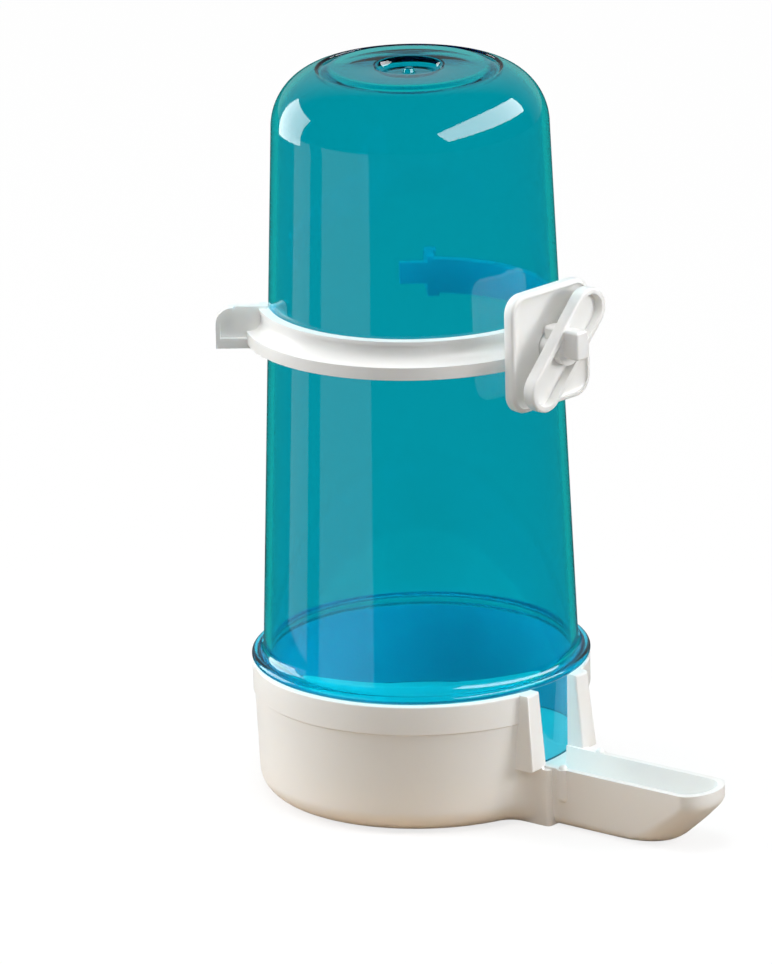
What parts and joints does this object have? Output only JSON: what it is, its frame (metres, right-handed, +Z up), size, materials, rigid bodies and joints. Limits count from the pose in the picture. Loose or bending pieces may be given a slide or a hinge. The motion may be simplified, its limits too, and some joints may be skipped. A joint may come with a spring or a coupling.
{
  "type": "bird drinker",
  "caption": "Siphon bird drinker: a tinted reservoir cup stands in a white tray with a spout-like trough, and a spring clip with a turning latch holds it on cage wires.",
  "frame": {"origin": "centre of the tray's flat underside, on the reservoir's axis", "axes": "+Z up along the reservoir's axis, +X along the drinking trough, away from the tray"},
  "size_m": [0.1102, 0.07, 0.1538],
  "materials": {
    "white_plastic": "moulded white plastic, satin to gloss",
    "tinted_plastic": "clear moulded plastic with a blue-green tint, polished"
  },
  "bodies": {
    "base": {"base_tray": "white_plastic"},
    "reservoir": {"reservoir": "tinted_plastic"},
    "clip": {"clip": "white_plastic"},
    "latch": {"turn_latch": "white_plastic"}
  },
  "joints": [
    {"name": "reservoir_lift", "type": "slide", "parent": "base", "child": "reservoir", "axis": [0, 0, 1], "range_m": [0, 0.03]},
    {"name": "clip_swivel", "type": "hinge", "parent": "reservoir", "child": "clip", "pos_m": [0, 0, 0.101], "axis": [0, 0, 1], "continuous": true},
    {"name": "latch_turn", "type": "hinge", "parent": "clip", "child": "latch", "pos_m": [0.03815, -0.00381, 0.1015], "axis": [0.9951, -0.0993, 0], "continuous": true}
  ]
}
